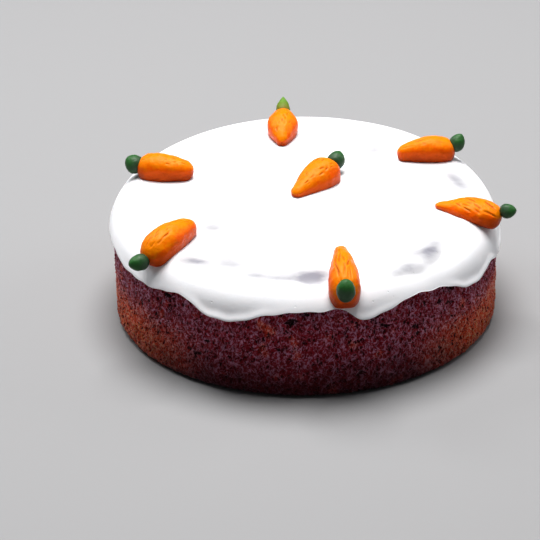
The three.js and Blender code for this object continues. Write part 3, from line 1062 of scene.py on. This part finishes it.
@dataclass
class Icing:
    """The poured icing with its wavy hanging edge, in millimetres."""

    columns: int = 600
    inner_top_rows: int = 2
    inner_side_rows: int = 8
    edge_rows: int = 9
    rim_rows: int = 54
    top_rows: int = 60
    ripples: Lumps = Lumps(26, 0.12, 21)
    form: IcingForm = IcingForm()
    finish: IcingFinish = IcingFinish()

    def underside(self) -> Array:
        """Lays out the underside, from the middle out and down to the edge.

        Returns:
            Its rings, in millimetres.
        """
        form, angle = self.form, around(self.columns)
        radius = form.inner_radius - form.inner_rim
        radius = radius * steps(1, self.inner_top_rows) / self.inner_top_rows
        flat = form.sloped_rings(angle, radius, form.inner_height + form.crown_at(radius))
        fall = form.inner_height - form.unsloped_edge(angle) - form.lip
        share = rounded_share(steps(1, self.inner_side_rows), self.inner_side_rows)
        height = form.inner_height - fall * share
        return np.vstack([flat, form.sloped_rings(angle, form.inner(height), height)])

    def edge(self) -> Array:
        """Lays out the half round of the hanging edge, from inside to outside.

        Returns:
            Its rings, in millimetres.
        """
        form, angle = self.form, around(self.columns)
        edge = form.unsloped_edge(angle)
        outer = form.outer(angle, edge)
        turn = steps(1, self.edge_rows) / (self.edge_rows + 1) * math.pi
        radius = outer - (outer - form.inner(edge)) / 2 * (1 + np.cos(turn))
        return form.sloped_rings(angle, radius, edge + form.lip * (1 - np.sin(turn)))

    def outside(self) -> Array:
        """Lays out the outside, from the hanging edge up and in to the middle.

        Returns:
            Its rings, in millimetres.
        """
        form, angle = self.form, around(self.columns)
        fall = form.height - form.unsloped_edge(angle) - form.lip
        height = form.height - fall * rounded_share(steps(self.rim_rows, 0), self.rim_rows)
        side = form.sloped_rings(angle, form.outer(angle, height), height)
        radius = (form.side_radius(angle) - form.rim) * steps(self.top_rows - 1, 1) / self.top_rows
        flat = form.sloped_rings(angle, radius, form.height + form.crown_at(radius))
        return np.vstack([side, flat])

    def relief(self, points: Array) -> Array:
        """Lowers the outside by the knife's hollows and its faint ripples.

        Args:
            points: Places on the smooth outside.

        Returns:
            The moved places.
        """
        drop = sum(hollow.depth_at(points[..., 0], points[..., 1]) for hollow in HOLLOWS)
        moved = points.copy()
        moved[..., 2] -= drop - self.ripples.relief_at(points)
        return moved

    def build(self) -> None:
        """Makes the icing and enters it."""
        form = self.form
        hidden = np.vstack([self.underside(), self.edge()])
        shown = self.relief(self.outside())
        under = np.array([0, 0, form.inner_height + form.crown])
        over = self.relief(np.array([0, 0, form.height + form.crown]))
        rings = np.vstack([hidden, shown])
        piece = closed_piece("icing_pour", under, rings, over)
        # Painted shade for the knife's hollows, kept on the outside only.
        hollow_shade = sum(patch.depth_at(rings[..., 0], rings[..., 1]) for patch in HOLLOW_SHADE_PATCHES)
        hollow_shade[: len(hidden)] = 0
        keep_share(piece, "hollow_shade", hollow_shade, 0.0)
        piece.data.materials.append(self.finish.material())
        enter(piece, Slot.ICING, "icing")


# ---------- Marzipan carrots ----------


@dataclass(frozen=True)
class Bud:
    """A green drop pressed onto a carrot's wide end, in millimetres and degrees.

    Lit is how fast its colour brightens from its base to its point.
    """

    width: float
    length: float
    taper: float
    tilt: float
    turn: float
    lift: float
    finish: MarzipanFinish = GREEN
    slot: Slot = Slot.GREEN_MARZIPAN
    lit: float = 1.25


@dataclass(frozen=True)
class Scores:
    """Strokes that a modelling tool left along a carrot's top, in millimetres and degrees."""

    seed: int
    count: int
    length: float
    width: float
    depth: float
    spread: float = 38.0
    skew: float = 0.0
    skew_spread: float = 9.0
    middles: Span = (0.14, 0.88)
    sizes: Span = (0.6, 1.25)
    bank_width: float = 2.2
    bank_height: float = 0.45

    def relief_at(self, share: Array, turn: Array, long: float, half: float) -> Array:
        """Gives how far the strokes raise or lower the skin.

        Args:
            share: Share of the way from tip to end.
            turn: Angle from the top, in radians.
            long: The carrot's length.
            half: The carrot's half width.

        Returns:
            The relief, in millimetres outwards.
        """
        draw = np.random.default_rng(self.seed)
        relief = np.zeros(np.broadcast(share, turn).shape)
        for _ in range(self.count):
            middle = draw.uniform(*self.middles)
            side = math.radians(draw.uniform(-self.spread, self.spread))
            skew = math.radians(self.skew + draw.normal(0, self.skew_spread))
            size = draw.uniform(*self.sizes)
            along, across = (share - middle) * long, (turn - side) * half
            far = along * math.cos(skew) + across * math.sin(skew)
            near = across * math.cos(skew) - along * math.sin(skew)
            reach = np.exp(-((far / (self.length * size)) ** 4))
            groove = np.exp(-((near / self.width) ** 2))
            banks = np.exp(-((near / (self.bank_width * self.width)) ** 2))
            relief += self.depth * size * reach * (self.bank_height * banks - groove)
        return relief


@dataclass(frozen=True)
class Carrot:
    """A hand-rolled marzipan carrot that lies on the icing, in millimetres.

    Tip and end are the middles of its two ends seen from above, and the rises are their heights
    above the icing there. Filled is the share of the room below that its underside fills.
    """

    name: str
    tip: Span
    end: Span
    tip_rise: float
    end_rise: float
    width: float
    tip_width: float
    height: float
    belly: float
    arch: float
    blunt: float
    bud: Bud
    scores: Scores
    end_width: float = 1.0
    taper_shape: float = 1.2
    keel: float = 1.15
    side_drop: float = 0.3
    bud_sunk: float = 1.5
    sunk: float = 0.8
    filled: float = 1.0
    fill_shape: float = 0.8
    full_groove: float = 0.4
    rows: int = 170
    sides: int = 150
    bud_rows: int = 36
    bud_sides: int = 40
    lumps: tuple[Lumps, ...] = (Lumps(9, 0.16, 40), Lumps(3.4, 0.1, 50))
    bud_lumps: tuple[Lumps, ...] = (Lumps(7, 0.18, 60), Lumps(2.6, 0.1, 70))
    form: IcingForm = IcingForm()
    finish: MarzipanFinish = ORANGE

    def axes(self) -> tuple[Array, ...]:
        """Works out where the carrot lies.

        Returns:
            Its tip, its end, and its forward, sideways and upward directions.
        """
        tip = self.form.point_above(self.tip, self.tip_rise)
        end = self.form.point_above(self.end, self.end_rise)
        forward = (end - tip) / np.linalg.norm(end - tip)
        side = np.cross([0, 0, 1], forward)
        side /= np.linalg.norm(side)
        return tip, end, forward, side, np.cross(forward, side)

    def rounding(self, length: float, share: Array) -> Array:
        """Gives how far both round ends draw the body in, at shares of the way to the end."""
        tip_cap = np.minimum(1, share * length / (self.tip_width / 2))
        end_cap = np.minimum(1, (1 - share) * length / (self.width / 2 * self.blunt))
        return np.sqrt((1 - (1 - tip_cap) ** 2) * (1 - (1 - end_cap) ** 2))

    def half_width(self, length: float, share: Array) -> Array:
        """Gives the half width at shares of the way from tip to end."""
        wide, narrow = self.width / 2, self.tip_width / 2
        swell = np.sin(np.minimum(1, share / self.belly) * math.pi / 2) ** self.taper_shape
        past = np.clip((share - self.belly) / (1 - self.belly), 0, 1)
        draw_in = 1 - (1 - self.end_width) * past**2 * (3 - 2 * past)
        return (narrow + (wide - narrow) * swell) * draw_in * self.rounding(length, share)

    def swollen(
        self, points: Array, middle: Array, kinds: tuple[Lumps, ...], hold: Array
    ) -> Array:
        """Pushes points out from an axis by lumps.

        Args:
            points: The smooth surface.
            middle: The axis at each row.
            kinds: The lumps.
            hold: The share of the lumps that each point takes.

        Returns:
            The moved points.
        """
        relief = sum(kind.relief_at(points, self.scores.seed) for kind in kinds)
        outward = points - middle
        reach = np.maximum(np.linalg.norm(outward, axis=-1, keepdims=True), TINY)
        return points + outward / reach * (relief * hold)[..., None]

    def body(self) -> Piece:
        """Makes the orange body.

        Returns:
            The body, which settles a little into the icing.
        """
        tip, end, forward, side, up = self.axes()
        length = float(np.linalg.norm(end - tip))
        share, turn = end_to_end(self.rows), around(self.sides)[None, :]
        half = self.half_width(length, share)
        relief = self.scores.relief_at(share, turn - math.pi / 2, length, self.width / 2)
        round_half = half + relief * np.clip(half / (self.width / 4), 0, 1)
        arch = 4 * self.arch * share * (1 - share)
        stand = self.tip_rise + (self.end_rise - self.tip_rise) * share + arch + self.sunk
        stand = stand * self.rounding(length, share) ** self.fill_shape * self.filled
        above, below = half * self.height, np.maximum(half * self.height * self.keel, stand)
        middle = tip + share[..., None] * length * forward + arch[..., None] * up
        flat = np.where(turn > math.pi, self.side_drop, 1)
        across = round_half * (np.sign(np.cos(turn)) * np.abs(np.cos(turn)) ** flat)
        rise = np.where(turn > math.pi, below, above + (round_half - half) * self.height)
        points = middle + across[..., None] * side + (rise * np.sin(turn))[..., None] * up
        near = np.minimum(1, np.linalg.norm(points - middle, axis=-1))
        rings = self.form.lift_off(self.swollen(points, middle, self.lumps, near), -self.sunk)
        first, last = (self.form.lift_off(pole, -self.sunk) for pole in (tip, end))
        piece = closed_piece(f"carrot_{self.name}_body", first, rings, last)
        # The upper share paints light on the top and shade underneath.
        keep_share(piece, "upper", np.broadcast_to((1 + np.sin(turn)) / 2, relief.shape), 0.5)
        # The groove share paints shade into the scored grooves.
        keep_share(piece, "groove", np.clip(-relief / self.full_groove, 0, 1), 0.0)
        piece.data.materials.append(self.finish.material())
        return piece

    def drop(self) -> Piece:
        """Makes the green bud.

        Returns:
            The bud, pressed into the carrot's end.
        """
        bud = self.bud
        _, end, forward, side, up = self.axes()
        tilt, turn = math.radians(bud.tilt), math.radians(bud.turn)
        axis = math.cos(tilt) * (forward * math.cos(turn) + side * math.sin(turn))
        axis = axis + up * math.sin(tilt)
        across = np.cross(up, axis)
        across /= np.linalg.norm(across)
        over = np.cross(axis, across)
        base = end + up * bud.lift - axis * self.bud_sunk
        length = bud.length + self.bud_sunk
        share, angle = end_to_end(self.bud_rows), around(self.bud_sides)[None, :]
        pull = (1 + bud.taper) / 2
        fullest = (0.5 / (0.5 + pull)) ** 0.5 * (pull / (0.5 + pull)) ** pull
        half = bud.width / 2 * share**0.5 * (1 - share) ** pull / fullest
        middle = base + share[..., None] * length * axis
        points = middle + (half * np.cos(angle))[..., None] * across
        points = points + (half * np.sin(angle))[..., None] * over
        hold = np.sqrt(1 - (2 * share - 1) ** 2)
        points = self.form.lift_off(self.swollen(points, middle, self.bud_lumps, hold), 0.0)
        piece = closed_piece(f"bud_{self.name}_drop", base, points, base + axis * length)
        # The upper share paints the bud lighter towards its point and darker at its base.
        upper = np.broadcast_to(np.minimum(1, share * bud.lit), points.shape[:2])
        keep_share(piece, "upper", upper, 0.5)
        piece.data.materials.append(bud.finish.material())
        return piece

    def build(self) -> None:
        """Makes the carrot's body and its bud and enters both."""
        enter(self.body(), Slot.ORANGE_MARZIPAN, f"carrot_{self.name}")
        enter(self.drop(), self.bud.slot, f"bud_{self.name}")


CARROTS = (
    Carrot(
        "centre", (-5.8, -4.3), (15.2, 20.7), 1.6, 5.2, 18.2, 6, 0.82, 0.72, 0, 0.8,
        Bud(9.2, 9.2, 0.35, 25, 13, -0.5), Scores(1, 24, 1.1, 0.7, 0.62, 46), 0.93, 1.55,
    ),
    Carrot(
        "back", (-11.5, 51.8), (-10.8, 81.2), 3, 6.3, 16.4, 3.8, 0.83, 0.55, 0, 0.5,
        Bud(7.6, 10, 1, 18, 1, 0, PALE_GREEN, Slot.PALE_GREEN_MARZIPAN),
        Scores(2, 16, 1.2, 0.65, 0.5), 0.5, 1.05, bud_sunk=4.5,
    ),
    Carrot(
        "right_back", (48.5, 37.2), (78.7, 40.9), 4.1, 4.6, 14.4, 6.2, 0.83, 0.68, 1.9, 0.7,
        Bud(8.4, 7.2, 0.3, 60, 13, 2.2), Scores(3, 6, 5, 0.8, 0.3), 0.9, bud_sunk=3,
    ),
    Carrot(
        "right", (66, -14.3), (99.2, -23.6), 1.5, 8.8, 18.2, 3, 0.66, 0.66, 0.9, 0.5,
        Bud(7.6, 7.2, 0.3, 14, 4, 3.4), Scores(4, 18, 3, 0.85, 0.85, 58, 32), 0.76, 1.3,
        keel=0.8, side_drop=0.45, filled=0.66,
    ),
    Carrot(
        "front", (17.4, -62), (19.2, -100.6), 3.6, 6.8, 15.6, 6, 1.04, 0.8, 3.6, 1,
        Bud(9.3, 11.2, 0.1, 95, 0, 2.8), Scores(5, 20, 3.4, 0.65, 0.62), 0.96, 1.4,
    ),
    Carrot(
        "left_front", (-55.5, -37.1), (-79, -62.6), 4.8, 6.9, 17.6, 8.2, 0.86, 0.64, 2, 0.9,
        Bud(8.6, 9.2, 0.25, 14, -17, -0.9), Scores(6, 20, 2, 0.6, 0.52), 0.84, side_drop=0.42,
        bud_sunk=1.9, filled=0.86,
    ),
    Carrot(
        "left_back", (-57, 18.6), (-86.2, 25), 4.9, 5.1, 15.8, 8.4, 0.84, 0.66, 0.8, 0.8,
        Bud(10, 7.2, 0.2, 34, -8, 0), Scores(7, 20, 1.5, 0.65, 0.62, 46), 0.88, bud_sunk=3,
    ),
)


# ---------- Loose crumbs ----------


@dataclass
class Crumbs:
    """Loose crumbs that cling to the sponge's side, in millimetres.

    Their turns are in radians, and least and most are the range of their sizes along each axis.
    """

    radius: float = 98.0
    low: float = 3.0
    high: float = 41.0
    columns: int = 64
    size: float = 0.55
    per_square_metre: float = 7000.0
    lump_size: float = 1 / 1.5
    lump: float = 1.6
    most_turn: Place = (6.28, 6.28, 6.28)
    least: Place = (0.5, 0.5, 0.4)
    most: Place = (1.3, 1.1, 1.0)
    seed: int = 5
    finish: SpongeFinish = SpongeFinish()

    def tree(self) -> Tree:
        """Builds the tree that scatters crumbs over a band.

        Returns:
            A tree that turns the band into crumbs.
        """
        sizes = {"Density": self.per_square_metre, "Size": self.size * MM, "Seed": self.seed}
        graph, band = geometry_tree("loose_crumbs", sizes)
        density, size, seed = (band.other(name) for name in sizes)
        settings = {"distribute_method": "RANDOM"}
        inputs = {"Mesh": band, "Density": density, "Seed": seed}
        points = graph.node("GeometryNodeDistributePointsOnFaces", settings, inputs)
        inputs = {"Radius": size, "Subdivisions": 2}
        ball = graph.node("GeometryNodeMeshIcoSphere", None, inputs)
        place = graph.node("GeometryNodeInputPosition")
        swell = (graph.noise(place, self.lump_size * MM, seed) - 0.5) * self.lump
        crumb = graph.moved(ball, graph.vector("SCALE", place, swell))
        ranges = (((0.0, 0.0, 0.0), self.most_turn, 3), (self.least, self.most, 4))
        settings = {"data_type": "FLOAT_VECTOR"}
        spin, scale = (
            graph.node("FunctionNodeRandomValue", settings, {"Min": low, "Max": high, "Seed": draw})
            for low, high, draw in ranges
        )
        inputs = {"Points": points, "Instance": crumb, "Rotation": spin, "Scale": scale}
        strewn = graph.node("GeometryNodeInstanceOnPoints", None, inputs)
        shaded = graph.node("GeometryNodeSetShadeSmooth", None, {"Geometry": strewn})
        return end_tree(graph, shaded, self.finish)

    def build(self) -> None:
        """Strews the crumbs and enters them as one piece."""
        height = np.array([[self.low], [self.high]])
        points = ring_points(around(self.columns), self.radius, height).reshape(-1, 3) * MM
        here = np.arange(self.columns)
        after = (here + 1) % self.columns
        quads = np.stack([here, after, after + self.columns, here + self.columns], axis=1)
        piece = mesh_object("crumbs_loose", points.tolist(), quads.tolist())
        settle_nodes(piece, self.tree())
        enter(piece, Slot.SPONGE)


# ---------- Studio ----------


@dataclass(frozen=True)
class SoftLight:
    """A large soft lamp, in metres and watts."""

    name: str
    place: Place
    size: float
    power: float
    colour: Place

    def build(self, target: Vector) -> None:
        """Hangs the lamp and turns it to a target."""
        lamp = bpy.data.lights.new(self.name, "AREA")
        lamp.shape = "DISK"
        lamp.size = self.size
        lamp.energy = self.power
        lamp.color = self.colour
        item = placed(self.name, lamp)
        item.location = self.place
        item.rotation_mode = "QUATERNION"
        item.rotation_quaternion = (target - Vector(self.place)).to_track_quat("-Z", "Y")


@dataclass(frozen=True)
class FloorFinish(Finish):
    """A plain pale floor, faintly clouded."""

    name: str = "pale_floor"
    colour: Colour = (0.25, 0.25, 0.254, 1.0)
    cloud_colour: Colour = (0.21, 0.21, 0.21, 1.0)
    cloud: float = 0.5
    cloudiness: float = 0.05
    dullness: float = 0.75

    def shade(self, graph: Graph, place: Wire) -> Wire:
        """Adds an even, matt surface."""
        share = graph.noise(place, self.cloud, 9) * self.cloudiness
        tone = graph.mixed(share, self.colour, self.cloud_colour)
        return graph.surface({"Base Color": tone, "Roughness": self.dullness})


@dataclass
class Studio:
    """The pale floor, the soft light and the camera, in metres; the camera's own in millimetres."""

    floor_half: float = 6.0
    floor_drop: float = 0.0002
    ambient: float = 0.08
    ambient_colour: Colour = (0.93, 0.95, 1.0, 1.0)
    camera_place: Place = (0.0, -1.37077, 0.74743)
    camera_right: Place = (0.99983861, 0.00411498, -0.01748765)
    camera_up: Place = (0.01351562, 0.46899159, 0.88309921)
    camera_reach: Span = (0.05, 50.0)
    lens: float = 200.0
    sensor: float = 36.0
    target: Place = (0.0, 0.0, 0.03)
    lamps: tuple[SoftLight, ...] = (
        SoftLight("ceiling", (-0.04, 0.29, 1.55), 1.15, 52.0, (1.0, 0.99, 0.985)),
        SoftLight("window", (-1.0, 0.7, 1.0), 0.6, 7.0, (0.97, 0.985, 1.0)),
        SoftLight("far_side", (1.2, 0.5, 0.8), 0.7, 4.0, (0.98, 0.98, 1.0)),
    )

    def build_floor(self) -> None:
        """Lays the floor as part of the stage."""
        half, drop = self.floor_half, -self.floor_drop
        corners = [(x * half, y * half, drop) for x, y in ((-1, -1), (1, -1), (1, 1), (-1, 1))]
        floor = mesh_object("floor", corners, [(0, 1, 2, 3)])
        floor.data.materials.append(FloorFinish().material())

    def build_light(self) -> None:
        """Hangs the lamps and sets the even light of the room."""
        for lamp in self.lamps:
            lamp.build(Vector(self.target))
        world = bpy.data.worlds.new("room")
        world.use_nodes = True
        back = world.node_tree.nodes["Background"]
        back.inputs["Color"].default_value = self.ambient_colour
        back.inputs["Strength"].default_value = self.ambient
        bpy.context.scene.world = world

    def build_camera(self) -> None:
        """Stands the camera at the front and looks down on the cake."""
        data = bpy.data.cameras.new("camera")
        data.lens = self.lens
        data.sensor_width = self.sensor
        data.clip_start, data.clip_end = self.camera_reach
        camera = placed("camera", data)
        right, up = Vector(self.camera_right), Vector(self.camera_up)
        turned = Matrix((right, up, right.cross(up))).transposed().to_4x4()
        camera.matrix_world = Matrix.Translation(self.camera_place) @ turned
        bpy.context.scene.camera = camera

    def build(self) -> None:
        """Sets up the whole studio."""
        self.build_floor()
        self.build_light()
        self.build_camera()
        bpy.context.scene.view_settings.view_transform = "Standard"
        bpy.context.scene.view_settings.look = "None"


# ---------- The cake ----------


def main() -> None:
    """Builds the cake and the studio."""
    logging.basicConfig(level=logging.INFO, format="%(name)s: %(message)s")
    for part in (Sponge(), Icing(), *CARROTS, Crumbs(), Studio()):
        part.build()


if __name__ == "__main__":
    main()
